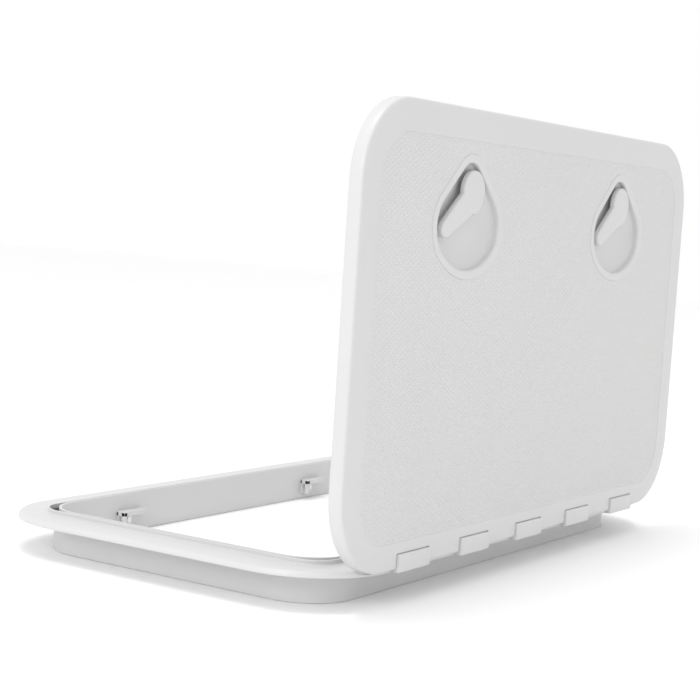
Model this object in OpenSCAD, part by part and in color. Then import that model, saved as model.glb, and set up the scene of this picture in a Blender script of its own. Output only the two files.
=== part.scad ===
// Deck hatch: flanged frame, hinged walk-on lid and two turn latches.
// X runs along the hinge, Y across it (hinge side at +Y), Z up from the deck.
// The lid parts are drawn closed, then swung open about the hinge pins.

/* [Lid] */
// Overall length along the hinge
lid_w = 606; // [590:1:640]
// Overall depth across the hinge
lid_d = 353; // [345:1:365]
// Corner radius of the lid
lid_r = 63; // [55:1:70]
// Height of the lid's edge
lid_h = 11.5; // [11:0.5:13]
// Wall thickness of the lid moulding
lid_wall = 3; // [2.5:0.1:3]
// Lean of the open lid past upright, in degrees
lean = 0; // [0:0.5:4]

/* [Frame] */
// How far the lid overhangs the flange
overhang = 2; // [1:0.5:3]
// Corner radius of the flange
flange_r = 74; // [70:1:78]
// Thickness of the flange
flange_t = 5; // [4.5:0.1:5]
// Distance from the flange edge to the skirt
skirt_inset = 30; // [28:1:32]
// Depth of the skirt below the deck face
skirt_depth = 26; // [24:1:40]
// Height of the upstand round the opening
upstand_h = 8.6; // [7:0.1:8.8]
// Distance from the flange edge to the opening
rim_w = 37; // [36.5:0.5:38]
// Width of the seal groove along the sides
groove_w = 2; // [1.6:0.1:2.4]

/* [Hinge] */
// Number of hinge blocks
block_count = 5; // [3:2:5]
// Spacing of the hinge blocks
block_pitch = 98; // [94:1:102]
// Width of a hinge block
block_w = 47; // [42:1:50]
// Radius of the hinge pins
pin_r = 2; // [1.5:0.1:2.2]

/* [Latches] */
// Distance of each latch dish from the middle
dish_x = 142.5; // [135:0.5:145]
// Radius of the latch spindle
spindle_r = 3.5; // [3:0.1:3.6]
// Thickness of the latch lever
lever_t = 4.8; // [4:0.1:4.8]

/* [Hidden] */
$fn = 96;

eps = 0.01;
hair = 0.01;
WHITE = "white";
STEEL = "silver";
RUBBER = "dimgray";

// Frame
flange_w = lid_w - 2 * overhang;
flange_d = lid_d - 2 * overhang;
wall_t = 2.5;
open_w = flange_w - 2 * rim_w;
open_d = flange_d - 2 * rim_w;
open_r = 34;
upstand_w = open_w + 2 * wall_t;
upstand_d = open_d + 2 * wall_t;
upstand_r = open_r + wall_t;
groove_outer_w = upstand_w + 2 * groove_w;
groove_outer_d = upstand_d + 2 * groove_w;
groove_r = 25;
groove_floor_z = 1.5;
seal_top_z = 4.4;
skirt_w = flange_w - 2 * skirt_inset;
skirt_d = flange_d - 2 * skirt_inset;
skirt_r = flange_r - skirt_inset;
slot_t = 2.4;
slot_len = 44;
slot_pitch = 50;
slot_roof_z = -4;

// Lid heights when closed
rest_gap = 0.5;
lid_z0 = flange_t + rest_gap;
lid_z1 = lid_z0 + lid_h;
skin_z = lid_z1 - lid_wall;
edge_r = 1.8;
panel_side = 25;
panel_hinge = 21;
panel_r = 38;
panel_drop = 0.4;

// Hinge axis and the solids round it
hinge_z = 8.5;
hinge_y = lid_d / 2 - 6.2;
block_r = 5.5;
block_proud = 2;
block_foot_z = 2;
block_top = hinge_z + block_r;
trough_r = 6.8;
ear_r = 4.2;
ear_w = 18;
ear_clear = 1;
pin_clear = 0.08;
trough_lip_z = 1.6;
rear_rim_z = hinge_z - 1;
rear_reach = 262;
notch_gap = 0.7;
notch_side = 1;
tongue_in = 15;
tongue_t = 3;
tongue_w = 38;
hinge_screw_x = 12;
hinge_screw_y = hinge_y - block_r - 8;
screw_r = 1.5;
head_r = 2.9;
head_t = 1.5;
hole_gap = 0.1;

// Lid liner
liner_inset = 28;
liner_t = 2.5;
liner_z = 9.5;
liner_r = 38;
boss_r = 4;
boss_x = [-250, -84, 84, 250];
boss_y = [-90, 120];
pilot_r = 1.2;
lid_rib_t = 2;
lid_rib_x = [-210, -70, 0, 70, 210];
lid_rib_y = [-20, 60];

// Latch dish, with its origin in its narrow head and +Y towards the hinge
dish_y = -115.4;
cup_top_r = 18.8;
cup_corner = [24, 31];
cup_corner_r = 25.8;
bezel = 7.2;
bezel_seat = 1.8;
bezel_proud = 0.3;
cup_wall = 2;
cup_ledge_z = 11;
cup_ledge_bottom = 9.2;
cup_ledge_y = -15;
cup_floor_z = 7;
cup_floor_bottom = cup_floor_z - cup_wall;

// Spindle, lever and cam; both latches have the spindle on the same side of the dish's middle
spindle_at = [-6, 3];
tube_r = 6;
tube_bottom = -6;
lever_head_r = 16.6;
lever_cheek = [0, 3.5];
lever_cheek_r = 14.5;
arm_root = [10, 10.6];
arm_root_r = 11;
arm_tip = [41.2, 30.6];
arm_tip_r = 7;
lever_z1 = lid_z1 - 0.2;
lever_z0 = lever_z1 - lever_t;
hub_r = 9;
hub_gap = 0.3;
spindle_clear = 0.06;
o_ring_r = 1;
o_ring_z = tube_bottom - o_ring_r;
washer_t = 1;
washer_r = 5.5;
washer_z = -9.3;
cam_z = -13.4;
cam_t = 3;
cam_hub_r = 5.5;
cam_hub_top = washer_z;
cam_reach = 22;
cam_half = 5;
cam_rest_angle = 205;
flat_half = 2.4;
spindle_z = cam_z - 0.2;
latch_screw_r = 1.5;
latch_screw_head_r = 4;
latch_screw_t = 2;

// Keepers on the front wall of the opening
keeper_mid_x = 143.5;
keeper_x0 = -3;
keeper_x1 = 28;
keeper_reach = 9;
keeper_top_z = -5.8;
keeper_ledge_z = -10;
keeper_foot_z = -20;
keeper_end_t = 4;
keeper_leg_t = 3.5;
keeper_back_x = 10;
keeper_back_t = 2;
keeper_screw_x = [14.2, 20.8];
keeper_screw_z = -14.5;
keeper_hole = 5.5;

// Rounded rectangle, drawn with true arcs
module rounded_rect(w, d, r) {
    square([w - 2 * r, d], center = true);
    square([w, d - 2 * r], center = true);
    for (sx = [-1, 1], sy = [-1, 1])
        translate([sx * (w / 2 - r), sy * (d / 2 - r)])
            circle(r);
}

module rounded_slab(w, d, r, z0, z1) {
    translate([0, 0, z0])
        linear_extrude(z1 - z0)
            rounded_rect(w, d, r);
}

// Upright ring between two rounded rectangles that share a centre
module ring_slab(w, d, r, wall, z0, z1) {
    translate([0, 0, z0])
        linear_extrude(z1 - z0)
            difference() {
                rounded_rect(w, d, r);
                rounded_rect(w - 2 * wall, d - 2 * wall, r - wall);
            }
}

// Carries a section round a rounded rectangle; its x = 0 is the outline, negative x is inside
module swept_ring(w, d, r) {
    for (turn = [0, 180]) {
        rotate(turn)
            translate([w / 2, d / 2 - r, 0])
                rotate([90, 0, 0])
                    linear_extrude(d - 2 * r)
                        children();
        rotate(turn + 90)
            translate([d / 2, w / 2 - r, 0])
                rotate([90, 0, 0])
                    linear_extrude(w - 2 * r)
                        children();
    }
    corners = [[1, 1], [-1, 1], [-1, -1], [1, -1]];
    for (i = [0:3])
        translate([corners[i][0] * (w / 2 - r), corners[i][1] * (d / 2 - r), 0])
            rotate(90 * i)
                rotate_extrude(angle = 90)
                    translate([r, 0])
                        children();
}

// Two circles and the straight flanks between them, let in by a hair so that they cross the circles
module pill(c1, r1, c2, r2) {
    run = c2 - c1;
    a = atan2(run[1], run[0]);
    b = acos((r1 - r2) / norm(run));
    flank_1 = r1 - hair;
    flank_2 = r2 - hair;
    translate(c1)
        circle(r1);
    translate(c2)
        circle(r2);
    polygon([
        c1 + flank_1 * [cos(a + b), sin(a + b)],
        c2 + flank_2 * [cos(a + b), sin(a + b)],
        c2 + flank_2 * [cos(a - b), sin(a - b)],
        c1 + flank_1 * [cos(a - b), sin(a - b)]
    ]);
}

// Teardrop outline of the latch dish: narrow at the spindle, wide towards the hinge
module teardrop(grow = 0) {
    bottom_r = norm(cup_corner) + cup_corner_r + grow;
    reach = 2 * bottom_r;
    for (s = [-1, 1])
        pill([0, 0], cup_top_r + grow, [s * cup_corner[0], cup_corner[1]], cup_corner_r + grow);
    intersection() {
        circle(bottom_r - hair);
        polygon([[0, 0], reach * cup_corner / norm(cup_corner), [0, 2 * reach],
                 reach * [-cup_corner[0], cup_corner[1]] / norm(cup_corner)]);
    }
}

module along_x(x, y, z, r, length) {
    translate([x - length / 2, y, z])
        rotate([0, 90, 0])
            cylinder(r = r, h = length);
}

function block_xs() = [for (i = [0:block_count - 1]) (i - (block_count - 1) / 2) * block_pitch];

// Swings closed parts to the open rest position
module opened() {
    translate([0, hinge_y, hinge_z])
        rotate([-90 - lean, 0, 0])
            translate([0, -hinge_y, -hinge_z])
                children();
}

module at_dish(side) {
    translate([side * dish_x, dish_y, 0])
        children();
}

module at_spindle(side) {
    at_dish(side)
        translate(spindle_at)
            children();
}

// ---- Frame ----

module flange_section() {
    inner = -rim_w + wall_t / 2;
    polygon([[0, 0], [0, 1.6], [-0.4, 2.8], [-1.2, 3.8], [-2.4, 4.5], [-4, 4.9], [-6, flange_t],
             [inner, flange_t], [inner, 0]]);
}

module seal_groove() {
    translate([0, 0, groove_floor_z])
        linear_extrude(flange_t)
            difference() {
                rounded_rect(groove_outer_w, groove_outer_d, groove_r);
                rounded_rect(upstand_w, upstand_d, upstand_r);
            }
}

// The walls are cored from below, and left solid behind the keepers
module core_slots() {
    z0 = -skirt_depth - 1;
    height = slot_roof_z - z0;
    offset_in = (rim_w - skirt_inset) / 2;
    for (i = [-4:4], s = [-1, 1])
        if (s > 0 || (abs(i) != 2 && abs(i) != 3))
            translate([i * slot_pitch - slot_len / 2, s * (skirt_d / 2 - offset_in) - slot_t / 2, z0])
                cube([slot_len, slot_t, height]);
    for (i = [-1.5:1.5], s = [-1, 1])
        translate([s * (skirt_w / 2 - offset_in) - slot_t / 2, i * slot_pitch - slot_len / 2, z0])
            cube([slot_t, slot_len, height]);
}

// Clears the lid's ears and its rear edge, between the hinge blocks
module hinge_trough() {
    difference() {
        union() {
            along_x(0, hinge_y, hinge_z, trough_r, flange_w);
            translate([-flange_w / 2, hinge_y, trough_lip_z])
                cube([flange_w, 20, flange_t]);
        }
        for (x = block_xs())
            translate([x - block_w / 2 - 0.2, hinge_y - 20, -10])
                cube([block_w + 0.4, 60, 40]);
    }
}

module hinge_screw_holes() {
    for (x = block_xs(), s = [-1, 1])
        translate([x + s * hinge_screw_x, hinge_screw_y, 1])
            cylinder(r = screw_r + hole_gap, h = flange_t);
}

module keeper_screw_holes() {
    for (side = [-1, 1], x = keeper_screw_x)
        translate([side * keeper_mid_x + x, -open_d / 2 + eps, keeper_screw_z])
            rotate([90, 0, 0])
                cylinder(r = screw_r, h = keeper_hole + 2 * eps);
}

module frame() {
    color(WHITE)
        difference() {
            union() {
                swept_ring(flange_w, flange_d, flange_r)
                    flange_section();
                ring_slab(upstand_w, upstand_d, upstand_r, wall_t, -1, upstand_h);
                difference() {
                    rounded_slab(skirt_w, skirt_d, skirt_r, -skirt_depth, eps);
                    rounded_slab(open_w, open_d, open_r, -skirt_depth - 1, 1);
                }
            }
            seal_groove();
            core_slots();
            hinge_trough();
            for (x = block_xs())
                translate([x - block_w / 2 - 0.2, hinge_y - block_r - 0.2, block_foot_z])
                    cube([block_w + 0.4, block_r + 10, flange_t]);
            hinge_screw_holes();
            keeper_screw_holes();
        }
}

module frame_seal() {
    color(RUBBER)
        translate([0, 0, groove_floor_z])
            linear_extrude(seal_top_z - groove_floor_z)
                difference() {
                    rounded_rect(groove_outer_w, groove_outer_d, groove_r);
                    rounded_rect(upstand_w, upstand_d, upstand_r);
                }
}

// ---- Hinge ----

module block_section() {
    outer_y = hinge_y + lid_z1 - hinge_z + block_proud;
    translate([hinge_y, hinge_z])
        circle(block_r);
    translate([hinge_y - block_r, block_foot_z])
        square([flange_d / 2 - hinge_y + block_r, hinge_z - block_foot_z]);
    translate([hinge_y, block_foot_z])
        square([outer_y - hinge_y - 1.5, block_top - block_foot_z]);
    translate([flange_d / 2, 0])
        square([outer_y - flange_d / 2, block_top - 1.5]);
    translate([outer_y - 1.5, block_top - 1.5])
        circle(1.5);
    translate([hinge_y - block_r - tongue_in, flange_t])
        square([tongue_in + 1, tongue_t]);
}

module hinge_block(x) {
    color(WHITE)
        difference() {
            translate([x - block_w / 2, 0, 0])
                rotate([90, 0, 90])
                    linear_extrude(block_w)
                        block_section();
            for (s = [-1, 1]) {
                translate([x + s * block_w / 2 - (s + 1) / 2 * (block_w - tongue_w) / 2,
                           hinge_y - block_r - tongue_in - 1, flange_t - 1])
                    cube([(block_w - tongue_w) / 2, tongue_in + 0.5, tongue_t + 2]);
                translate([x + s * hinge_screw_x, hinge_screw_y, flange_t - 1])
                    cylinder(r = screw_r + hole_gap, h = tongue_t + 2);
                translate([x + s * hinge_screw_x, hinge_screw_y,
                           flange_t + tongue_t - head_t - hole_gap])
                    cylinder(r = head_r + hole_gap, h = tongue_t);
            }
            along_x(x, hinge_y, hinge_z, pin_r, block_w + 2);
        }
}

module hinge_pin(x) {
    color(STEEL)
        along_x(x, hinge_y, hinge_z, pin_r, block_w + 2 * (ear_w + ear_clear));
}

module hinge_screws() {
    length = flange_t + tongue_t - 1;
    color(STEEL)
        for (x = block_xs(), s = [-1, 1])
            translate([x + s * hinge_screw_x, hinge_screw_y, 1])
                difference() {
                    union() {
                        cylinder(r = screw_r, h = length);
                        translate([0, 0, length - head_t])
                            cylinder(r = head_r, h = head_t);
                    }
                    for (turn = [0, 90])
                        rotate(turn)
                            translate([-1.6, -0.4, length - 0.9])
                                cube([3.2, 0.8, 1]);
                }
}

// ---- Keepers ----

module keeper(side) {
    color(WHITE)
        translate([side * keeper_mid_x, -open_d / 2, 0])
            difference() {
                union() {
                    translate([keeper_x0, 0, keeper_ledge_z])
                        cube([keeper_x1 - keeper_x0, keeper_reach, keeper_top_z - keeper_ledge_z]);
                    translate([keeper_back_x, 0, keeper_foot_z])
                        cube([keeper_x1 - keeper_back_x, keeper_back_t, keeper_top_z - keeper_foot_z]);
                    translate([keeper_x1 - keeper_end_t, keeper_reach - keeper_leg_t, keeper_foot_z])
                        cube([keeper_end_t, keeper_leg_t, keeper_top_z - keeper_foot_z]);
                }
                for (x = keeper_screw_x)
                    translate([x, keeper_back_t + 1, keeper_screw_z])
                        rotate([90, 0, 0])
                            cylinder(r = screw_r + hole_gap, h = keeper_back_t + 2);
            }
}

module keeper_screws() {
    color(STEEL)
        for (side = [-1, 1], x = keeper_screw_x)
            translate([side * keeper_mid_x + x, -open_d / 2, keeper_screw_z])
                rotate([-90, 0, 0]) {
                    translate([0, 0, -keeper_hole + 0.3])
                        cylinder(r = screw_r, h = keeper_hole + keeper_back_t);
                    translate([0, 0, keeper_back_t])
                        cylinder(r = head_r, h = head_t);
                }
}

// ---- Lid ----

module rim_section() {
    polygon([[-lid_wall, lid_z0], [-0.4, lid_z0], [0, lid_z0 + 0.4], [0, lid_z1 - edge_r],
             [-0.25, lid_z1 - 0.9], [-0.9, lid_z1 - 0.25], [-edge_r, lid_z1], [-12, lid_z1],
             [-12, skin_z], [-lid_wall, skin_z]]);
}

module lid_ears() {
    for (x = block_xs(), s = [-1, 1])
        translate([x + s * (block_w / 2 + ear_clear + ear_w / 2), 0, 0]) {
            along_x(0, hinge_y, hinge_z, ear_r, ear_w);
            translate([-ear_w / 2, hinge_y - 1.2, hinge_z])
                cube([ear_w, 2.4, skin_z - hinge_z + eps]);
        }
}

module lid_ribs() {
    z0 = liner_z + liner_t + 0.2;
    for (x = lid_rib_x)
        translate([x - lid_rib_t / 2, -20, z0])
            cube([lid_rib_t, 150, skin_z - z0 + eps]);
    for (y = lid_rib_y)
        translate([-270, y - lid_rib_t / 2, z0])
            cube([540, lid_rib_t, skin_z - z0 + eps]);
    for (x = boss_x, y = boss_y)
        translate([x, y, liner_z + liner_t])
            cylinder(r = boss_r, h = skin_z - liner_z - liner_t + eps);
}

module lid() {
    color(WHITE)
        opened()
            difference() {
                union() {
                    swept_ring(lid_w, lid_d, lid_r)
                        rim_section();
                    rounded_slab(lid_w - 20, lid_d - 20, lid_r - 10, skin_z, lid_z1);
                    lid_ears();
                    lid_ribs();
                }
                translate([0, (panel_side - panel_hinge) / 2, 0])
                    rounded_slab(lid_w - 2 * panel_side, lid_d - panel_side - panel_hinge, panel_r,
                                 lid_z1 - panel_drop, lid_z1 + 1);
                translate([-rear_reach, hinge_y + ear_r - 1.4, lid_z0 - 1])
                    cube([2 * rear_reach, 20, rear_rim_z - lid_z0 + 1]);
                for (x = block_xs()) {
                    translate([x - block_w / 2 - notch_side, hinge_y - block_r - notch_gap, 0])
                        cube([block_w + 2 * notch_side, 40, 30]);
                    for (s = [-1, 1])
                        along_x(x + s * (block_w / 2 + ear_clear + ear_w / 2), hinge_y, hinge_z,
                                pin_r + pin_clear, ear_w + 2 * eps);
                }
                for (side = [-1, 1])
                    at_dish(side) {
                        translate([0, 0, skin_z - 1])
                            linear_extrude(10)
                                teardrop(cup_wall + 0.2);
                        translate([0, 0, lid_z1 - bezel_seat])
                            linear_extrude(10)
                                teardrop(bezel + 0.1);
                    }
                for (x = boss_x, y = boss_y)
                    translate([x, y, liner_z])
                        cylinder(r = pilot_r, h = 6);
            }
}

module lid_liner() {
    color(WHITE)
        opened()
            difference() {
                rounded_slab(lid_w - 2 * liner_inset, lid_d - 2 * liner_inset, liner_r,
                             liner_z, liner_z + liner_t);
                for (side = [-1, 1])
                    at_dish(side)
                        translate([0, 0, liner_z - 1])
                            linear_extrude(10)
                                teardrop(cup_wall + 0.5);
                for (x = boss_x, y = boss_y)
                    translate([x, y, liner_z]) {
                        translate([0, 0, -1])
                            cylinder(r = screw_r + hole_gap, h = liner_t + 2);
                        translate([0, 0, -1])
                            cylinder(r = head_r + hole_gap, h = head_t + 1 + hole_gap);
                    }
            }
}

module liner_screws() {
    color(STEEL)
        opened()
            for (x = boss_x, y = boss_y)
                translate([x, y, liner_z]) {
                    cylinder(r = head_r, h = head_t);
                    cylinder(r = pilot_r, h = 5.7);
                }
}

// ---- Latches ----

// The part of the dish that drops inside the opening, clear of the upstand
module deep_outline(grow) {
    intersection() {
        teardrop(grow);
        translate([-100, cup_ledge_y - grow])
            square([200, 200]);
    }
}

module latch_cup(side) {
    color(WHITE)
        opened()
            at_dish(side)
                difference() {
                    union() {
                        translate([0, 0, cup_ledge_bottom])
                            linear_extrude(lid_z1 - bezel_seat - cup_ledge_bottom + eps)
                                teardrop(cup_wall);
                        translate([0, 0, cup_floor_bottom])
                            linear_extrude(cup_ledge_bottom - cup_floor_bottom + eps)
                                deep_outline(cup_wall);
                        translate([0, 0, lid_z1 - bezel_seat])
                            linear_extrude(bezel_seat + bezel_proud)
                                teardrop(bezel);
                        translate([spindle_at[0], spindle_at[1], tube_bottom])
                            cylinder(r = tube_r, h = cup_floor_bottom - tube_bottom + eps);
                    }
                    translate([0, 0, cup_ledge_z])
                        linear_extrude(20)
                            teardrop();
                    translate([0, 0, cup_floor_z])
                        linear_extrude(20)
                            deep_outline(0);
                    translate([spindle_at[0], spindle_at[1], tube_bottom - 1])
                        cylinder(r = spindle_r + spindle_clear, h = 20);
                }
}

module lever_outline() {
    circle(lever_head_r);
    translate(lever_cheek)
        circle(lever_cheek_r);
    pill(arm_root, arm_root_r, arm_tip, arm_tip_r);
}

module spindle() {
    difference() {
        translate([0, 0, spindle_z])
            cylinder(r = spindle_r, h = lever_z0 - spindle_z + eps);
        for (s = [-1, 1])
            translate([-10, s * (flat_half + 5) - 5, spindle_z - 1])
                cube([20, 10, cam_t + 1.2 + 4]);
        translate([0, 0, spindle_z - 1])
            cylinder(r = latch_screw_r + hole_gap, h = 9);
    }
}

module latch_lever(side) {
    color(WHITE)
        opened()
            at_spindle(side) {
                translate([0, 0, lever_z0])
                    linear_extrude(lever_t)
                        lever_outline();
                translate([0, 0, cup_floor_z + hub_gap])
                    cylinder(r = hub_r, h = lever_z0 - cup_floor_z - hub_gap + eps);
                spindle();
            }
}

module latch_o_ring(side) {
    color(RUBBER)
        opened()
            at_spindle(side)
                translate([0, 0, o_ring_z])
                    rotate_extrude()
                        translate([spindle_r + o_ring_r + 0.05, 0])
                            circle(o_ring_r - 0.02, $fn = 32);
}

module latch_washer(side) {
    color(STEEL)
        opened()
            at_spindle(side)
                translate([0, 0, washer_z])
                    difference() {
                        cylinder(r = washer_r, h = washer_t);
                        translate([0, 0, -1])
                            cylinder(r = spindle_r + 0.1, h = washer_t + 2);
                    }
}

module latch_cam(side) {
    color(WHITE)
        opened()
            at_spindle(side)
                difference() {
                    union() {
                        translate([0, 0, cam_z])
                            cylinder(r = cam_hub_r, h = cam_hub_top - cam_z);
                        translate([0, 0, cam_z])
                            linear_extrude(cam_t)
                                rotate(cam_rest_angle)
                                    pill([0, 0], cam_half + 0.2, [cam_reach - cam_half, 0], cam_half);
                    }
                    difference() {
                        translate([0, 0, cam_z - 1])
                            cylinder(r = spindle_r + 0.05, h = 40);
                        for (s = [-1, 1])
                            translate([-10, s * (flat_half + 5.05) - 5, cam_z - 2])
                                cube([20, 10, cam_t + 2 + 2]);
                    }
                }
}

module latch_screw(side) {
    color(STEEL)
        opened()
            at_spindle(side)
                translate([0, 0, spindle_z - 0.1 - latch_screw_t]) {
                    difference() {
                        cylinder(r = latch_screw_head_r, h = latch_screw_t);
                        for (turn = [0, 90])
                            rotate(turn)
                                translate([-2.2, -0.5, -eps])
                                    cube([4.4, 1, 1]);
                    }
                    cylinder(r = latch_screw_r, h = latch_screw_t + 7);
                }
}

frame();
frame_seal();
hinge_block(block_xs()[0]);  // hinge_block_1
hinge_block(block_xs()[1]);  // hinge_block_2
hinge_block(block_xs()[2]);  // hinge_block_3
hinge_block(block_xs()[3]);  // hinge_block_4
hinge_block(block_xs()[4]);  // hinge_block_5
hinge_pin(block_xs()[0]);  // hinge_pin_1
hinge_pin(block_xs()[1]);  // hinge_pin_2
hinge_pin(block_xs()[2]);  // hinge_pin_3
hinge_pin(block_xs()[3]);  // hinge_pin_4
hinge_pin(block_xs()[4]);  // hinge_pin_5
hinge_screws();
keeper(-1);  // keeper_left
keeper(1);  // keeper_right
keeper_screws();
lid();
lid_liner();
liner_screws();
latch_cup(-1);  // latch_cup_left
latch_cup(1);  // latch_cup_right
latch_lever(-1);  // latch_lever_left
latch_lever(1);  // latch_lever_right
latch_o_ring(-1);  // latch_o_ring_left
latch_o_ring(1);  // latch_o_ring_right
latch_washer(-1);  // latch_washer_left
latch_washer(1);  // latch_washer_right
latch_cam(-1);  // latch_cam_left
latch_cam(1);  // latch_cam_right
latch_screw(-1);  // latch_screw_left
latch_screw(1);  // latch_screw_right
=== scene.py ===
"""Looks of the deck hatch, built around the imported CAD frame.

X runs along the hinge, Y across it (hinge side at +Y), Z up from the deck. The lid's pieces are
drawn closed, in millimetres, and then swung open by lid_place(). All lengths below are millimetres.
"""

import math

import bmesh
import bpy
import numpy as np
from mathutils import Matrix, Vector


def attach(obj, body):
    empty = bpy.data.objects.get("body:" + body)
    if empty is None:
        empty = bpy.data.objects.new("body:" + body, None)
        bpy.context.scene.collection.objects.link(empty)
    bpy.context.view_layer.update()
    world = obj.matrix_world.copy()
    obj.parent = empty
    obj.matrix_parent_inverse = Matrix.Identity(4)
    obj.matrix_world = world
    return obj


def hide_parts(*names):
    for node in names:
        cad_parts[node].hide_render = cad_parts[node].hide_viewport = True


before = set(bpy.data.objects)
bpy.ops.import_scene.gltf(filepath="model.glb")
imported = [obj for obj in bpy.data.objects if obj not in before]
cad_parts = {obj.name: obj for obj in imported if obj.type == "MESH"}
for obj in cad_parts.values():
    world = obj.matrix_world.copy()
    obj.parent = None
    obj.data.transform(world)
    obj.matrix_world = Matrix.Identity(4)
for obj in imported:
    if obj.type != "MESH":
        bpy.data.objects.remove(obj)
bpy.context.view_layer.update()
MM = 0.001

# Lid
LID = (606.0, 353.0)
LID_R = 63.0
LID_BOTTOM, LID_TOP, SKIN = 5.5, 17.0, 14.0
LID_WALL = 3.0
PANEL_SIDE, PANEL_HINGE, PANEL_R, PANEL_DROP = 25.0, 21.0, 38.0, 0.7
DIAMOND = (7.1, 4.13)
DIAMOND_H = 0.65

# Frame
FLANGE = (602.0, 349.0)
FLANGE_R, FLANGE_T = 74.0, 5.0
SKIRT_INSET, SKIRT_R, SKIRT_DEPTH = 30.0, 44.0, 26.0
GROOVE_INSET, GROOVE_R, GROOVE_FLOOR = 32.5, 25.0, 1.5
UPSTAND_INSET, UPSTAND_R, UPSTAND_TOP = 34.5, 36.5, 8.6
OPENING_INSET, OPENING_R = 37.0, 34.0
SEAL_TOP = 4.4
# Thin rib just outside the seal groove; the CAD frame is flat there
RIB_T, RIB_TOP = 1.6, 8.4
SLOT, SLOT_PITCH, SLOT_ROOF = (44.0, 2.4), 50.0, -4.0

# Hinge
HINGE = (170.3, 8.5)
BLOCKS = [98.0 * (i - 2) for i in range(5)]
BLOCK_W, BLOCK_R, BLOCK_OUT = 47.0, 5.5, 180.8
BLOCK_FOOT, BLOCK_FIT, SHOULDER_R = 2.0, 0.2, 1.5
TONGUE_W, TONGUE_IN, TONGUE_T = 38.0, 15.0, 3.0
SCREW_X, SCREW_Y, HEAD_R, HEAD_SINK = 12.0, 156.8, 3.0, 1.6
TROUGH_R, TROUGH_LIP = 6.8, 1.6
EAR_R, EAR_W, EAR_GAP = 4.2, 18.0, 1.0
PIN_R, PIN_CLEAR = 2.0, 0.08
NOTCH_SIDE, NOTCH_GAP = 1.0, 0.7
REAR_REACH, REAR_RIM = 262.0, 7.5

# Latch dishes, measured from their narrow heads with +Y towards the hinge
DISH_X, DISH_Y = 142.5, -115.4
DISH_HEAD_R, DISH_CORNER, DISH_CORNER_R = 18.8, (24.0, 31.0), 25.8
BEZEL, BEZEL_SEAT, BEZEL_TOP = 7.2, 15.2, 17.3
CUP_WALL, CUP_LEDGE, CUP_BOTTOM, CUP_STEP_Y = 2.0, 9.2, 5.0, -17.0
TUBE_R, TUBE_BOTTOM, BORE_R = 6.0, -6.0, 3.56

# Levers, measured from the spindle
SPINDLE_AT = (-6.0, 3.0)
SPINDLE_R, SPINDLE_BOTTOM = 3.5, -13.6
LEVER_BOTTOM, LEVER_TOP = 12.0, 16.8
LEVER_CIRCLES = [((0.0, 0.0), 16.6), ((0.0, 3.5), 14.5)]
LEVER_ARM = ((10.0, 10.6), 11.0, (41.2, 30.6), 7.0)
LEVER_MIDDLE, LEVER_SEARCH, HALVINGS = (4.0, 10.0), 70.0, 40
HUB_R, HUB_BOTTOM = 8.0, 9.0

# Keepers, measured from their middle and the opening's front wall
KEEPER_MID_X = 143.5
WALL_Y = -137.5
KEEPER_X, KEEPER_REACH = (-3.0, 28.0), 9.0
KEEPER_TOP, KEEPER_LEDGE, KEEPER_FOOT = -5.8, -10.0, -20.0


# ---- Outlines ----

def rounded_rect(w, d, r, inset=0.0, cy=0.0, steps=16):
    """Corner arcs of a rounded rectangle, anticlockwise, with its sides let in by inset."""
    a, b = w / 2 - inset - r, d / 2 - inset - r
    points = []
    for k, (sx, sy) in enumerate(((1, 1), (-1, 1), (-1, -1), (1, -1))):
        for i in range(steps + 1):
            t = math.radians(90 * (k + i / steps))
            points.append((sx * a + r * math.cos(t), cy + sy * b + r * math.sin(t)))
    return points


def flank_angle():
    """Direction of the normal of the dish's right flank, in radians."""
    run = Vector(DISH_CORNER)
    from_run = math.acos((DISH_HEAD_R - DISH_CORNER_R) / run.length)
    return math.atan2(run.y, run.x) - from_run


def arc(centre, r, start, end, steps):
    return [(centre[0] + r * math.cos(start + (end - start) * i / steps),
             centre[1] + r * math.sin(start + (end - start) * i / steps)) for i in range(steps + 1)]


def dish(grow=0.0):
    """Teardrop outline of the latch dish, grown evenly outwards."""
    flank = flank_angle()
    corner = math.atan2(DISH_CORNER[1], DISH_CORNER[0])
    bottom_r = Vector(DISH_CORNER).length + DISH_CORNER_R
    left = (-DISH_CORNER[0], DISH_CORNER[1])
    return (arc(DISH_CORNER, DISH_CORNER_R + grow, flank, corner, 24)
            + arc((0, 0), bottom_r + grow, corner, math.pi - corner, 24)[1:]
            + arc(left, DISH_CORNER_R + grow, math.pi - corner, math.pi - flank, 24)[1:]
            + arc((0, 0), DISH_HEAD_R + grow, math.pi - flank, 2 * math.pi + flank, 24))


def clipped(outline, y_min):
    """The part of a convex outline above y_min."""
    kept = []
    for (x0, y0), (x1, y1) in zip(outline, outline[1:] + outline[:1]):
        if y0 >= y_min:
            kept.append((x0, y0))
        if (y0 < y_min) != (y1 < y_min):
            t = (y_min - y0) / (y1 - y0)
            kept.append((x0 + t * (x1 - x0), y_min))
    return kept


def pill_distance(p, c1, r1, c2, r2):
    """Signed distance to two circles joined by their tangents."""
    run = (c2[0] - c1[0], c2[1] - c1[1])
    length = math.hypot(*run)
    ux, uy = run[0] / length, run[1] / length
    x = (p[0] - c1[0]) * ux + (p[1] - c1[1]) * uy
    y = abs((p[1] - c1[1]) * ux - (p[0] - c1[0]) * uy)
    slope = (r1 - r2) / length
    lift = math.sqrt(1 - slope * slope)
    along = x * lift - y * slope
    if along < 0:
        return math.hypot(x, y) - r1
    if along > length * lift:
        return math.hypot(x - length, y) - r2
    return x * slope + y * lift - r1


def lever_distance(p):
    rounds = [math.hypot(p[0] - c[0], p[1] - c[1]) - r for c, r in LEVER_CIRCLES]
    return min(rounds + [pill_distance(p, *LEVER_ARM)])


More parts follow.
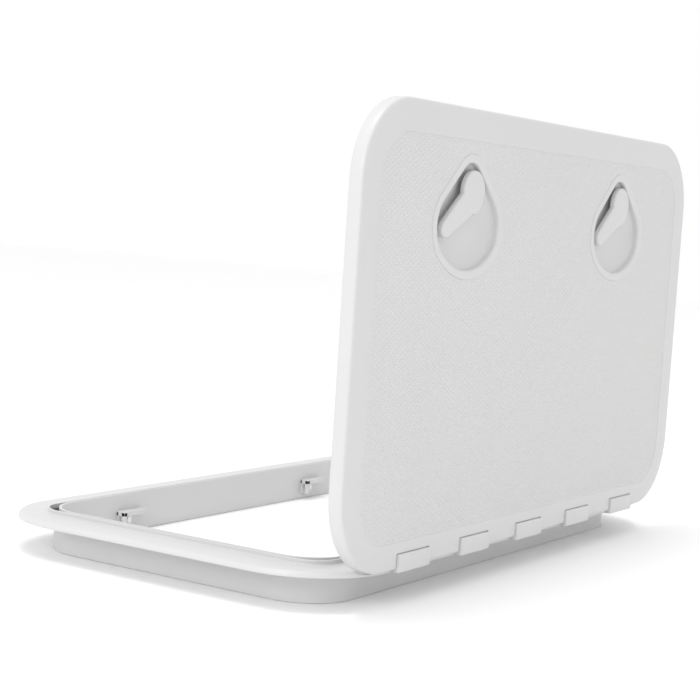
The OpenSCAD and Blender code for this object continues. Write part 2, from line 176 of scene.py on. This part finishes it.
def lever(grow=0.0, steps=160):
    """Outline of the lever, found by halving along rays from inside its root."""
    x, y = LEVER_MIDDLE
    points = []
    for i in range(steps):
        t = 2 * math.pi * i / steps
        near, far = 0.0, LEVER_SEARCH
        for _ in range(HALVINGS):
            mid = (near + far) / 2
            inside = lever_distance((x + mid * math.cos(t), y + mid * math.sin(t))) < grow
            near, far = (mid, far) if inside else (near, mid)
        points.append((x + near * math.cos(t), y + near * math.sin(t)))
    return points


# ---- Mesh making ----

def lid_place():
    """Where the lid's pieces go: swung open about the hinge."""
    pivot = Vector((0, HINGE[0], HINGE[1]))
    turn = Matrix.Rotation(math.radians(-90), 4, "X")
    return Matrix.Translation(pivot) @ turn @ Matrix.Translation(-pivot)


def dish_place(side):
    return lid_place() @ Matrix.Translation((side * DISH_X, DISH_Y, 0))


def spindle_place(side):
    return dish_place(side) @ Matrix.Translation((*SPINDLE_AT, 0))


def new_object(name, bm, place=None):
    """A mesh object in metres from a bmesh in millimetres."""
    if place is not None:
        bmesh.ops.transform(bm, matrix=place, verts=bm.verts)
    bmesh.ops.scale(bm, vec=(MM, MM, MM), verts=bm.verts)
    bmesh.ops.recalc_face_normals(bm, faces=bm.faces)
    mesh = bpy.data.meshes.new(name)
    bm.to_mesh(mesh)
    bm.free()
    obj = bpy.data.objects.new(name, mesh)
    bpy.context.scene.collection.objects.link(obj)
    return obj


def add_loft(bm, rings):
    """Closed skin through rings of (outline, z); the first and last ring are filled."""
    rows = [[bm.verts.new((x, y, z)) for x, y in outline] for outline, z in rings]
    n = len(rows[0])
    for low, high in zip(rows, rows[1:]):
        for i in range(n):
            j = (i + 1) % n
            bm.faces.new((low[i], low[j], high[j], high[i]))
    bm.faces.new(rows[0])
    bm.faces.new(rows[-1])


def add_band(bm, rings):
    """Closed skin through rings of (outline, z) that come back to the first ring."""
    rows = [[bm.verts.new((x, y, z)) for x, y in outline] for outline, z in rings]
    n = len(rows[0])
    for k, low in enumerate(rows):
        high = rows[(k + 1) % len(rows)]
        for i in range(n):
            j = (i + 1) % n
            bm.faces.new((low[i], low[j], high[j], high[i]))


def add_prism_x(bm, section, x0, x1):
    """Section of (y, z) points run along X."""
    ends = [[bm.verts.new((x, y, z)) for y, z in section] for x in (x0, x1)]
    n = len(section)
    for i in range(n):
        j = (i + 1) % n
        bm.faces.new((ends[0][i], ends[0][j], ends[1][j], ends[1][i]))
    bm.faces.new(ends[0])
    bm.faces.new(ends[1])


def add_box(bm, low, high):
    add_prism_x(bm, [(low[1], low[2]), (high[1], low[2]), (high[1], high[2]), (low[1], high[2])],
                low[0], high[0])


def add_cylinder(bm, centre, r, z0, z1, steps=48):
    circle = arc(centre, r, 0, 2 * math.pi, steps)[:-1]
    add_loft(bm, [(circle, z0), (circle, z1)])


def apply(obj, kind, **settings):
    """Adds a modifier and bakes its result into the mesh."""
    modifier = obj.modifiers.new(kind, kind)
    for key, value in settings.items():
        setattr(modifier, key, value)
    graph = bpy.context.evaluated_depsgraph_get()
    mesh = bpy.data.meshes.new_from_object(obj.evaluated_get(graph))
    obj.modifiers.clear()
    obj.data = mesh


def combine(obj, bm, operation="DIFFERENCE", place=None):
    """Cuts the solids in bm from obj, or joins them to it."""
    cutter = new_object("cutter", bm, place)
    apply(obj, "BOOLEAN", operation=operation, object=cutter, solver="EXACT", use_self=True)
    bpy.data.objects.remove(cutter)


def smooth(obj, angle=32):
    obj.data.shade_smooth()
    obj.data.set_sharp_from_angle(angle=math.radians(angle))


def finish_piece(obj, body, material, slot, *nodes):
    obj.data.materials.clear()
    obj.data.materials.append(material)
    smooth(obj)
    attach(obj, body)
    if nodes:
        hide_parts(*nodes)


# ---- Materials ----

def new_material(name):
    material = bpy.data.materials.new(name)
    material.use_nodes = True
    shader = material.node_tree.nodes["Principled BSDF"]
    return material, material.node_tree, shader


def noise(tree, scale, detail=2.0):
    where = tree.nodes.new("ShaderNodeTexCoord")
    texture = tree.nodes.new("ShaderNodeTexNoise")
    texture.inputs["Scale"].default_value = scale
    texture.inputs["Detail"].default_value = detail
    tree.links.new(where.outputs["Object"], texture.inputs["Vector"])
    return texture.outputs["Fac"]


def spread(tree, value, low, high):
    ramp = tree.nodes.new("ShaderNodeMapRange")
    ramp.inputs["To Min"].default_value = low
    ramp.inputs["To Max"].default_value = high
    tree.links.new(value, ramp.inputs["Value"])
    return ramp.outputs["Result"]


def tint(tree, value, dark, light):
    mix = tree.nodes.new("ShaderNodeMix")
    mix.data_type = "RGBA"
    mix.inputs["A"].default_value = (*dark, 1)
    mix.inputs["B"].default_value = (*light, 1)
    tree.links.new(value, mix.inputs["Factor"])
    return mix.outputs["Result"]


def bump(tree, shader, height, strength, distance):
    node = tree.nodes.new("ShaderNodeBump")
    node.inputs["Strength"].default_value = strength
    node.inputs["Distance"].default_value = distance
    tree.links.new(height, node.inputs["Height"])
    tree.links.new(node.outputs["Normal"], shader.inputs["Normal"])


def white_plastic():
    """Moulded ASA: very slightly mottled in colour and gloss, with the soft skin of a mould."""
    material, tree, shader = new_material("white_plastic")
    colour = tint(tree, noise(tree, 14.0), (0.61, 0.611, 0.611), (0.63, 0.63, 0.629))
    tree.links.new(colour, shader.inputs["Base Color"])
    tree.links.new(spread(tree, noise(tree, 60.0), 0.28, 0.38), shader.inputs["Roughness"])
    shader.inputs["IOR"].default_value = 1.49
    bump(tree, shader, noise(tree, 900.0, 3.0), 0.12, 0.0001)
    return material


def black_rubber():
    material, tree, shader = new_material("black_rubber")
    colour = tint(tree, noise(tree, 200.0), (0.012, 0.012, 0.012), (0.03, 0.03, 0.03))
    tree.links.new(colour, shader.inputs["Base Color"])
    tree.links.new(spread(tree, noise(tree, 400.0), 0.6, 0.8), shader.inputs["Roughness"])
    bump(tree, shader, noise(tree, 1500.0, 3.0), 0.3, 0.0001)
    return material


def stainless_steel():
    material, tree, shader = new_material("stainless_steel")
    colour = tint(tree, noise(tree, 90.0), (0.70, 0.70, 0.71), (0.78, 0.78, 0.79))
    tree.links.new(colour, shader.inputs["Base Color"])
    shader.inputs["Metallic"].default_value = 1.0
    tree.links.new(spread(tree, noise(tree, 500.0), 0.35, 0.5), shader.inputs["Roughness"])
    bump(tree, shader, noise(tree, 2500.0, 2.0), 0.1, 0.00005)
    return material


# ---- Frame ----

def frame_rings():
    """The frame's section, carried round the opening."""
    def flange(inset, z):
        return rounded_rect(*FLANGE, FLANGE_R - inset, inset), z

    def ring(inset, r, z):
        return rounded_rect(*FLANGE, r, inset), z

    edge = [(0.3, 0), (0, 0.3), (0, 1.4), (0.25, 2.4), (0.8, 3.35), (1.7, 4.1), (2.8, 4.6),
            (4.2, 4.88), (6, FLANGE_T)]
    rings = [flange(*p) for p in edge]
    rings += [ring(GROOVE_INSET - RIB_T - 0.5, GROOVE_R + RIB_T + 0.5, FLANGE_T),
              ring(GROOVE_INSET - RIB_T, GROOVE_R + RIB_T, FLANGE_T + 0.5),
              ring(GROOVE_INSET - RIB_T, GROOVE_R + RIB_T, RIB_TOP - 0.3),
              ring(GROOVE_INSET - RIB_T + 0.3, GROOVE_R + RIB_T - 0.3, RIB_TOP),
              ring(GROOVE_INSET - 0.3, GROOVE_R + 0.3, RIB_TOP),
              ring(GROOVE_INSET, GROOVE_R, RIB_TOP - 0.3),
              ring(GROOVE_INSET, GROOVE_R, GROOVE_FLOOR),
              ring(UPSTAND_INSET, UPSTAND_R, GROOVE_FLOOR),
              ring(UPSTAND_INSET, UPSTAND_R, UPSTAND_TOP - 0.7),
              ring(UPSTAND_INSET + 0.2, UPSTAND_R - 0.2, UPSTAND_TOP - 0.2),
              ring(UPSTAND_INSET + 0.7, UPSTAND_R - 0.7, UPSTAND_TOP),
              ring(OPENING_INSET - 0.7, OPENING_R + 0.7, UPSTAND_TOP),
              ring(OPENING_INSET - 0.2, OPENING_R + 0.2, UPSTAND_TOP - 0.2),
              ring(OPENING_INSET, OPENING_R, UPSTAND_TOP - 0.7),
              ring(OPENING_INSET, OPENING_R, -SKIRT_DEPTH + 0.5),
              ring(OPENING_INSET - 0.5, OPENING_R + 0.5, -SKIRT_DEPTH),
              ring(SKIRT_INSET + 0.5, SKIRT_R - 0.5, -SKIRT_DEPTH),
              ring(SKIRT_INSET, SKIRT_R, -SKIRT_DEPTH + 0.5),
              ring(SKIRT_INSET, SKIRT_R, -0.8),
              ring(SKIRT_INSET - 0.25, SKIRT_R + 0.25, -0.25),
              ring(SKIRT_INSET - 0.8, SKIRT_R + 0.8, 0)]
    return rings


def core_slots(bm):
    """Slots that core the walls from below; the front wall is solid behind the keepers."""
    inset = (SKIRT_INSET + OPENING_INSET) / 2
    long_y, short_x = FLANGE[1] / 2 - inset, FLANGE[0] / 2 - inset
    half_l, half_t = SLOT[0] / 2, SLOT[1] / 2
    low, high = -SKIRT_DEPTH - 2, SLOT_ROOF
    for i in range(-4, 5):
        for s in (-1, 1):
            if s > 0 or abs(i) not in (2, 3):
                x, y = i * SLOT_PITCH, s * long_y
                add_box(bm, (x - half_l, y - half_t, low), (x + half_l, y + half_t, high))
    for i in (-1.5, -0.5, 0.5, 1.5):
        for s in (-1, 1):
            x, y = s * short_x, i * SLOT_PITCH
            add_box(bm, (x - half_t, y - half_l, low), (x + half_t, y + half_l, high))


def trough_gaps():
    """Stretches of the hinge side between the blocks."""
    edges = [-FLANGE[0] / 2]
    for x in BLOCKS:
        edges += [x - BLOCK_W / 2 - BLOCK_FIT, x + BLOCK_W / 2 + BLOCK_FIT]
    edges.append(FLANGE[0] / 2)
    return list(zip(edges[::2], edges[1::2]))


def hinge_cuts(bm):
    """The trough that the lid's ears turn in, and the pockets that the blocks stand in."""
    y, z = HINGE
    section = [(y - TROUGH_R * math.cos(t), z - TROUGH_R * math.sin(t))
               for t in (math.pi / 2 * i / 16 for i in range(17))]
    section += [(y + 0.1, TROUGH_LIP), (y + 20, TROUGH_LIP), (y + 20, 20), (y - TROUGH_R, 20)]
    for x0, x1 in trough_gaps():
        add_prism_x(bm, section, x0, x1)
    for x in BLOCKS:
        add_box(bm, (x - BLOCK_W / 2 - BLOCK_FIT, y - BLOCK_R - BLOCK_FIT, BLOCK_FOOT),
                (x + BLOCK_W / 2 + BLOCK_FIT, y + 20, 20))


def make_frame(white):
    bm = bmesh.new()
    add_band(bm, frame_rings())
    obj = new_object("frame_moulding", bm)
    cuts = bmesh.new()
    core_slots(cuts)
    combine(obj, cuts)
    cuts = bmesh.new()
    hinge_cuts(cuts)
    combine(obj, cuts)
    finish_piece(obj, "frame_body", white, "white_moulding", "frame")


def make_seal(rubber):
    """Seal with a crowned top, lying in the groove."""
    def ring(outer, inset, z):
        if outer:
            return rounded_rect(*FLANGE, GROOVE_R - inset, GROOVE_INSET + inset), z
        return rounded_rect(*FLANGE, UPSTAND_R + inset, UPSTAND_INSET - inset), z

    bm = bmesh.new()
    add_band(bm, [ring(True, 0, GROOVE_FLOOR), ring(True, 0, SEAL_TOP - 0.7),
                  ring(True, 0.2, SEAL_TOP - 0.2), ring(True, 0.6, SEAL_TOP),
                  ring(False, 0.6, SEAL_TOP), ring(False, 0.2, SEAL_TOP - 0.2),
                  ring(False, 0, SEAL_TOP - 0.7), ring(False, 0, GROOVE_FLOOR)])
    obj = new_object("seal_strip", bm)
    finish_piece(obj, "frame_body", rubber, "black_rubber", "frame_seal")


# ---- Hinge blocks and keepers ----

def block_section():
    y, z = HINGE
    knuckle = [(y - BLOCK_R * math.cos(t), z + BLOCK_R * math.sin(t))
               for t in (math.pi / 2 * i / 12 for i in range(13))]
    shoulder_y, shoulder_z = BLOCK_OUT - SHOULDER_R, z + BLOCK_R - SHOULDER_R
    shoulder = [(shoulder_y + SHOULDER_R * math.sin(t), shoulder_z + SHOULDER_R * math.cos(t))
                for t in (math.pi / 2 * i / 5 for i in range(6))]
    edge_y = FLANGE[1] / 2
    foot = [(BLOCK_OUT, 0), (edge_y, 0), (edge_y, BLOCK_FOOT), (y - BLOCK_R, BLOCK_FOOT)]
    return knuckle + shoulder + foot


def make_block(number, x, white):
    bm = bmesh.new()
    add_prism_x(bm, block_section(), x - BLOCK_W / 2, x + BLOCK_W / 2)
    inner_y = HINGE[0] - BLOCK_R
    add_box(bm, (x - TONGUE_W / 2, inner_y - TONGUE_IN, FLANGE_T),
            (x + TONGUE_W / 2, inner_y + 1.5, FLANGE_T + TONGUE_T))
    obj = new_object(f"hinge_block_moulding_{number}", bm)
    apply(obj, "BEVEL", width=0.45 * MM, segments=3, limit_method="ANGLE",
          angle_limit=math.radians(50))
    tongue_top = FLANGE_T + TONGUE_T
    holes = bmesh.new()
    for s in (-1, 1):
        add_cylinder(holes, (x + s * SCREW_X, SCREW_Y), HEAD_R, tongue_top - HEAD_SINK, tongue_top + 1)
    combine(obj, holes)
    finish_piece(obj, "frame_body", white, "white_moulding", f"hinge_block_{number}")


def make_keeper(name, side, white):
    """Ledge that the cam pulls under, on a screwed back plate, with a leg at its end."""
    x = side * KEEPER_MID_X
    x0, x1 = x + KEEPER_X[0], x + KEEPER_X[1]
    parts = [
        ((x0, 0, KEEPER_LEDGE), (x1, KEEPER_REACH, KEEPER_TOP)),
        ((x + 10, 0, KEEPER_FOOT), (x1, 2, KEEPER_TOP - 0.5)),
        ((x1 - 4, KEEPER_REACH - 3.5, KEEPER_FOOT), (x1, KEEPER_REACH, KEEPER_TOP - 0.5)),
    ]
    bm = bmesh.new()
    for low, high in parts:
        add_box(bm, (low[0], WALL_Y + low[1], low[2]), (high[0], WALL_Y + high[1], high[2]))
    obj = new_object(f"keeper_moulding_{name}", bm)
    apply(obj, "BEVEL", width=0.4 * MM, segments=3, limit_method="ANGLE",
          angle_limit=math.radians(50))
    finish_piece(obj, "frame_body", white, "white_moulding", f"keeper_{name}")


# ---- Lid ----

def lid_rings():
    def rim(inset, z):
        return rounded_rect(*LID, LID_R - inset, inset), z

    def panel(grow, z):
        w = LID[0] - 2 * PANEL_SIDE + 2 * grow
        d = LID[1] - PANEL_SIDE - PANEL_HINGE + 2 * grow
        return rounded_rect(w, d, PANEL_R + grow, 0, (PANEL_SIDE - PANEL_HINGE) / 2), z

    floor = LID_TOP - PANEL_DROP
    return [panel(-0.6, floor), panel(-0.2, floor + 0.05), panel(0.2, LID_TOP - 0.05),
            panel(0.6, LID_TOP),
            rim(3.4, LID_TOP), rim(1.9, LID_TOP - 0.12), rim(0.9, LID_TOP - 0.5),
            rim(0.3, LID_TOP - 1.15), rim(0, LID_TOP - 2.2), rim(0, LID_BOTTOM + 0.5),
            rim(0.15, LID_BOTTOM + 0.15), rim(0.5, LID_BOTTOM), rim(LID_WALL - 0.3, LID_BOTTOM),
            rim(LID_WALL, LID_BOTTOM + 0.3), rim(LID_WALL, SKIN - 1), rim(LID_WALL + 1, SKIN)]


def ear_solids(bm):
    y, z = HINGE
    barrel = [(y + EAR_R * math.cos(t), z + EAR_R * math.sin(t))
              for t in (2 * math.pi * i / 40 for i in range(40))]
    for x in BLOCKS:
        for s in (-1, 1):
            near = x + s * (BLOCK_W / 2 + EAR_GAP)
            far = near + s * EAR_W
            add_prism_x(bm, barrel, min(near, far), max(near, far))
            add_box(bm, (min(near, far) + 0.01, y - 1.2, z), (max(near, far) - 0.01, y + 1.2, SKIN + 1))


def ear_bores(bm):
    y, z = HINGE
    r = PIN_R + PIN_CLEAR
    bore = [(y + r * math.cos(t), z + r * math.sin(t))
            for t in (2 * math.pi * i / 32 for i in range(32))]
    for x in BLOCKS:
        reach = BLOCK_W / 2 + EAR_GAP + EAR_W + 0.5
        add_prism_x(bm, bore, x - reach, x + reach)


def lid_notches(bm):
    """Room for the blocks, and the lower rim of the lid's hinge edge."""
    y = HINGE[0]
    for x in BLOCKS:
        half = BLOCK_W / 2 + NOTCH_SIDE
        add_box(bm, (x - half, y - BLOCK_R - NOTCH_GAP, 0), (x + half, y + 40, 30))
    add_box(bm, (-REAR_REACH, y + EAR_R - 1.4, 0), (REAR_REACH, y + 20, REAR_RIM))


def latch_openings(bm):
    for side in (-1, 1):
        for grow, z0 in ((CUP_WALL + 0.2, SKIN - 2), (BEZEL + 0.1, BEZEL_SEAT)):
            outline = [(x + side * DISH_X, y + DISH_Y) for x, y in dish(grow)]
            add_loft(bm, [(outline, z0), (outline, LID_TOP + 5)])


def panel_depth(x, y):
    """How far a point lies inside the textured panel, outside the bezels; negative beyond it."""
    cy = (PANEL_SIDE - PANEL_HINGE) / 2
    w = LID[0] / 2 - PANEL_SIDE - PANEL_R
    d = (LID[1] - PANEL_SIDE - PANEL_HINGE) / 2 - PANEL_R
    qx, qy = np.abs(x) - w, np.abs(y - cy) - d
    outside = np.hypot(np.maximum(qx, 0), np.maximum(qy, 0))
    depth = PANEL_R - outside - np.minimum(np.maximum(qx, qy), 0)
    for side in (-1, 1):
        depth = np.minimum(depth, dish_distance(x - side * DISH_X, y - DISH_Y) - BEZEL)
    return depth


def dish_distance(x, y):
    """Distance outside the dish's outline, from its half-planes."""
    angles = np.radians(np.arange(0, 360, 4.0))
    outline = np.array(dish())
    best = np.full(np.shape(x), -1e9)
    for t in angles:
        n = np.array((math.cos(t), math.sin(t)))
        reach = (outline @ n).max()
        best = np.maximum(best, x * n[0] + y * n[1] - reach)
    return best


def diamond_field():
    """Raised diamonds with V grooves between them; the sheet's border dips under the panel."""
    step_x, step_y = DIAMOND[0] / 2, DIAMOND[1] / 2
    nx, ny = int(LID[0] / 2 / step_x) + 1, int(LID[1] / 2 / step_y) + 1
    i, j = np.meshgrid(np.arange(-nx, nx + 1), np.arange(-ny, ny + 1), indexing="ij")
    x, y = i * step_x, j * step_y
    depth = panel_depth(x, y) - 1.2
    inside = np.clip(depth / 1.2, 0, 1)
    raised = (i + j) % 2
    floor = LID_TOP - PANEL_DROP
    z = floor - 0.3 + inside * (0.31 + raised * (DIAMOND_H - 0.02))
    keep = depth > -4.0
    bm = bmesh.new()
    verts = {}
    for a, b in zip(*np.nonzero(keep)):
        verts[a, b] = bm.verts.new((x[a, b], y[a, b], z[a, b]))
    for (a, b), v in list(verts.items()):
        corners = [(a, b), (a + 1, b), (a + 1, b + 1), (a, b + 1)]
        if all(c in verts for c in corners):
            p = [verts[c] for c in corners]
            if raised[a, b]:
                bm.faces.new((p[0], p[1], p[3]))
                bm.faces.new((p[1], p[2], p[3]))
            else:
                bm.faces.new((p[0], p[1], p[2]))
                bm.faces.new((p[0], p[2], p[3]))
    return bm


def make_lid(white):
    bm = bmesh.new()
    add_loft(bm, lid_rings())
    obj = new_object("lid_moulding", bm)
    for fill in (lid_notches, latch_openings):
        cuts = bmesh.new()
        fill(cuts)
        combine(obj, cuts)
    ears = bmesh.new()
    ear_solids(ears)
    combine(obj, ears, "UNION")
    bores = bmesh.new()
    ear_bores(bores)
    combine(obj, bores)
    obj.data.transform(Matrix.Scale(MM, 4) @ lid_place() @ Matrix.Scale(1 / MM, 4))
    finish_piece(obj, "lid_body", white, "white_moulding", "lid")
    tread = new_object("lid_tread", diamond_field(), lid_place())
    finish_piece(tread, "lid_body", white, "white_moulding")
    tread.data.shade_flat()


# ---- Latches ----

def bowl_rings():
    """The dish's inside: a steep lip, then a bowl that deepens towards its middle."""
    lip = [(3.2, BEZEL_TOP + 1), (3.0, BEZEL_TOP), (2.0, BEZEL_TOP - 0.1), (1.2, BEZEL_TOP - 0.35),
           (0.5, BEZEL_TOP - 0.8), (0.1, BEZEL_TOP - 1.5)]
    wall = [(0, 14.4), (-0.1, 12.8), (-0.25, 11.8), (-0.9, 11.2)]
    bowl = [(-1.9, 10.8), (-3.2, 10.4), (-5.0, 9.9), (-7.0, 9.15), (-9.5, 8.4), (-12.5, 7.65),
            (-15.5, 7.2), (-18.5, 7.0)]
    return [(dish(g), z) for g, z in lip + wall + bowl]


def make_cup(name, side, white):
    bm = bmesh.new()
    add_loft(bm, [(dish(BEZEL), BEZEL_SEAT), (dish(BEZEL), BEZEL_TOP - 0.9),
                  (dish(BEZEL - 0.3), BEZEL_TOP - 0.45), (dish(BEZEL - 1.0), BEZEL_TOP - 0.15),
                  (dish(BEZEL - 2.2), BEZEL_TOP)])
    obj = new_object(f"latch_dish_{name}", bm)
    wall = dish(CUP_WALL)
    deep = clipped(wall, CUP_STEP_Y)
    solids = bmesh.new()
    add_loft(solids, [(wall, CUP_LEDGE), (wall, BEZEL_SEAT + 0.5)])
    combine(obj, solids, "UNION")
    solids = bmesh.new()
    add_loft(solids, [(deep, CUP_BOTTOM), (deep, CUP_LEDGE + 0.5)])
    combine(obj, solids, "UNION")
    solids = bmesh.new()
    add_cylinder(solids, SPINDLE_AT, TUBE_R, TUBE_BOTTOM, CUP_BOTTOM + 0.5)
    combine(obj, solids, "UNION")
    cuts = bmesh.new()
    add_loft(cuts, bowl_rings())
    combine(obj, cuts)
    cuts = bmesh.new()
    add_cylinder(cuts, SPINDLE_AT, BORE_R, TUBE_BOTTOM - 1, 12)
    combine(obj, cuts)
    obj.data.transform(Matrix.Scale(MM, 4) @ dish_place(side) @ Matrix.Scale(1 / MM, 4))
    finish_piece(obj, "lid_body", white, "white_moulding", f"latch_cup_{name}")


def make_lever(name, side, white):
    bm = bmesh.new()
    add_loft(bm, [(lever(-0.5), LEVER_BOTTOM), (lever(-0.15), LEVER_BOTTOM + 0.15),
                  (lever(0), LEVER_BOTTOM + 0.5), (lever(0), LEVER_TOP - 1.6),
                  (lever(-0.2), LEVER_TOP - 0.8), (lever(-0.7), LEVER_TOP - 0.25),
                  (lever(-1.5), LEVER_TOP)])
    hub = arc((0, 0), HUB_R, 0, 2 * math.pi, 48)[:-1]
    add_loft(bm, [(hub, HUB_BOTTOM), (hub, LEVER_BOTTOM + 0.2)])
    stem = arc((0, 0), SPINDLE_R, 0, 2 * math.pi, 40)[:-1]
    add_loft(bm, [(stem, SPINDLE_BOTTOM), (stem, HUB_BOTTOM + 0.2)])
    obj = new_object(f"latch_handle_{name}", bm, spindle_place(side))
    finish_piece(obj, f"latch_{name}_body", white, "white_moulding", f"latch_lever_{name}")


# ---- Studio ----

CAMERA_AZ, CAMERA_EL, CAMERA_ROLL = 122.4, 4.56, 3.74
CAMERA_TARGET, CAMERA_DISTANCE, LENS = (23.21, 0, 145.38), 1510.48, 85.93
SIDE_LIGHT_W, TOP_LIGHT_W, WORLD_LEVEL = 13, 15, 1.0
FLOOR_HALF, FLOOR_GAP = 6000, 0.2


def add_camera():
    a, e, r = (math.radians(v) for v in (CAMERA_AZ, CAMERA_EL, CAMERA_ROLL))
    back = Vector((math.sin(a) * math.cos(e), -math.cos(a) * math.cos(e), math.sin(e)))
    level_right = Vector((0, 0, 1)).cross(back).normalized()
    level_up = back.cross(level_right)
    right = math.cos(r) * level_right + math.sin(r) * level_up
    up = math.cos(r) * level_up - math.sin(r) * level_right
    place = Matrix((right, up, back)).transposed().to_4x4()
    place.translation = (Vector(CAMERA_TARGET) + back * CAMERA_DISTANCE) * MM
    data = bpy.data.cameras.new("camera")
    data.lens = LENS
    data.sensor_width = 36
    camera = bpy.data.objects.new("camera", data)
    camera.matrix_world = place
    bpy.context.scene.collection.objects.link(camera)
    bpy.context.scene.camera = camera


def add_area(name, position, target, size, power):
    data = bpy.data.lights.new(name, "AREA")
    data.shape = "RECTANGLE"
    data.size, data.size_y = size
    data.energy = power
    light = bpy.data.objects.new(name, data)
    light.location = position
    light.rotation_euler = (Vector(target) - Vector(position)).to_track_quat("-Z", "Y").to_euler()
    bpy.context.scene.collection.objects.link(light)


def add_world(level):
    world = bpy.data.worlds.new("studio")
    world.use_nodes = True
    world.node_tree.nodes["Background"].inputs["Color"].default_value = (1, 1, 1, 1)
    world.node_tree.nodes["Background"].inputs["Strength"].default_value = level
    bpy.context.scene.world = world


def add_floor():
    """Pale floor just under the skirt."""
    bm = bmesh.new()
    bmesh.ops.create_grid(bm, x_segments=1, y_segments=1, size=FLOOR_HALF)
    bmesh.ops.translate(bm, vec=(0, 0, -SKIRT_DEPTH - FLOOR_GAP), verts=bm.verts)
    floor = new_object("floor", bm)
    material, tree, shader = new_material("floor")
    shader.inputs["Base Color"].default_value = (0.98, 0.98, 0.98, 1)
    shader.inputs["Roughness"].default_value = 0.9
    floor.data.materials.append(material)


def keep_cad_nodes(names, material):
    for name in names:
        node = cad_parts[name]
        node.data.materials.clear()
        node.data.materials.append(material)


white, rubber, steel = white_plastic(), black_rubber(), stainless_steel()
make_frame(white)
make_seal(rubber)
for number, x in enumerate(BLOCKS, 1):
    make_block(number, x, white)
make_lid(white)
for name, side in (("left", -1), ("right", 1)):
    make_keeper(name, side, white)
    make_cup(name, side, white)
    make_lever(name, side, white)
keep_cad_nodes(["lid_liner", "latch_cam_left", "latch_cam_right"], white)
keep_cad_nodes(["latch_o_ring_left", "latch_o_ring_right"], rubber)
keep_cad_nodes([f"hinge_pin_{i}" for i in range(1, 6)]
               + ["hinge_screws", "keeper_screws", "liner_screws", "latch_washer_left",
                  "latch_washer_right", "latch_screw_left", "latch_screw_right"], steel)

bpy.context.scene.view_settings.view_transform = "Standard"
add_camera()
add_world(WORLD_LEVEL)
add_floor()
add_area("side", (2.4, 0.3, 1.1), (0, 0, 0.1), (0.7, 0.7), SIDE_LIGHT_W)
add_area("top", (0.5, -0.3, 2.6), (0, 0, 0), (0.9, 0.9), TOP_LIGHT_W)
